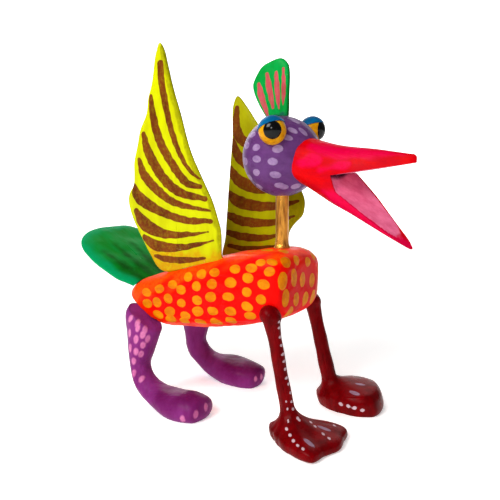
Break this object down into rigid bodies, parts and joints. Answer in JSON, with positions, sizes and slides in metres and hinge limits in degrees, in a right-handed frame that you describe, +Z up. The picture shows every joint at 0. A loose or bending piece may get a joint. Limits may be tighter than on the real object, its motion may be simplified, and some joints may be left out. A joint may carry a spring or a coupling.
{
  "type": "carved wooden bird figurine",
  "caption": "Hand-carved wooden alebrije bird that stands on four legs, with an open beak, crest, upright wings and fan tail.",
  "frame": {"origin": "centre of the bounding box on the ground plane, under the middle of the body", "axes": "+Z up, -Y the way the figure faces, +X to the figure's left"},
  "size_m": [0.0565, 0.1326, 0.1282],
  "materials": {
    "body_red": "hand-painted, varnished",
    "neck_gold": "hand-painted, varnished",
    "head_purple": "hand-painted, varnished",
    "beak_red": "hand-painted, varnished",
    "eye_amber": "hand-painted, varnished",
    "crest_green": "hand-painted, varnished",
    "wing_yellow": "hand-painted, varnished",
    "tail_green": "hand-painted, varnished",
    "front_leg_maroon": "hand-painted, varnished",
    "rear_leg_purple": "hand-painted, varnished",
    "bare_wood": "unfinished dowel"
  },
  "bodies": {
    "body": {"body": "body_red", "neck_dowel": "neck_gold", "leg_front_right": "front_leg_maroon", "leg_front_left": "front_leg_maroon", "leg_rear_right": "rear_leg_purple", "leg_rear_left": "rear_leg_purple", "peg_front_right": "bare_wood", "peg_front_left": "bare_wood", "peg_rear_right": "bare_wood", "peg_rear_left": "bare_wood"},
    "head": {"head": "head_purple", "beak": "beak_red", "beak_peg": "bare_wood", "eye_right": "eye_amber", "eye_left": "eye_amber"},
    "crest": {"crest": "crest_green"},
    "wing_right": {"wing_right": "wing_yellow"},
    "wing_left": {"wing_left": "wing_yellow"},
    "tail": {"tail": "tail_green"}
  },
  "joints": [
    {"name": "head_turn", "type": "hinge", "parent": "body", "child": "head", "pos_m": [0, -0.021, 0.0762], "axis": [0, 0, 1], "range_deg": [-45, 45]},
    {"name": "crest_pull", "type": "slide", "parent": "head", "child": "crest", "axis": [0, 0, 1], "range_m": [0, 0.005]},
    {"name": "wing_right_pull", "type": "slide", "parent": "body", "child": "wing_right", "axis": [-0.0872, 0, 0.9962], "range_m": [0, 0.0085]},
    {"name": "wing_left_pull", "type": "slide", "parent": "body", "child": "wing_left", "axis": [0.1392, 0, 0.9903], "range_m": [0, 0.0085]},
    {"name": "tail_pull", "type": "slide", "parent": "body", "child": "tail", "axis": [0, 0.8387, 0.5446], "range_m": [0, 0.0085]}
  ]
}
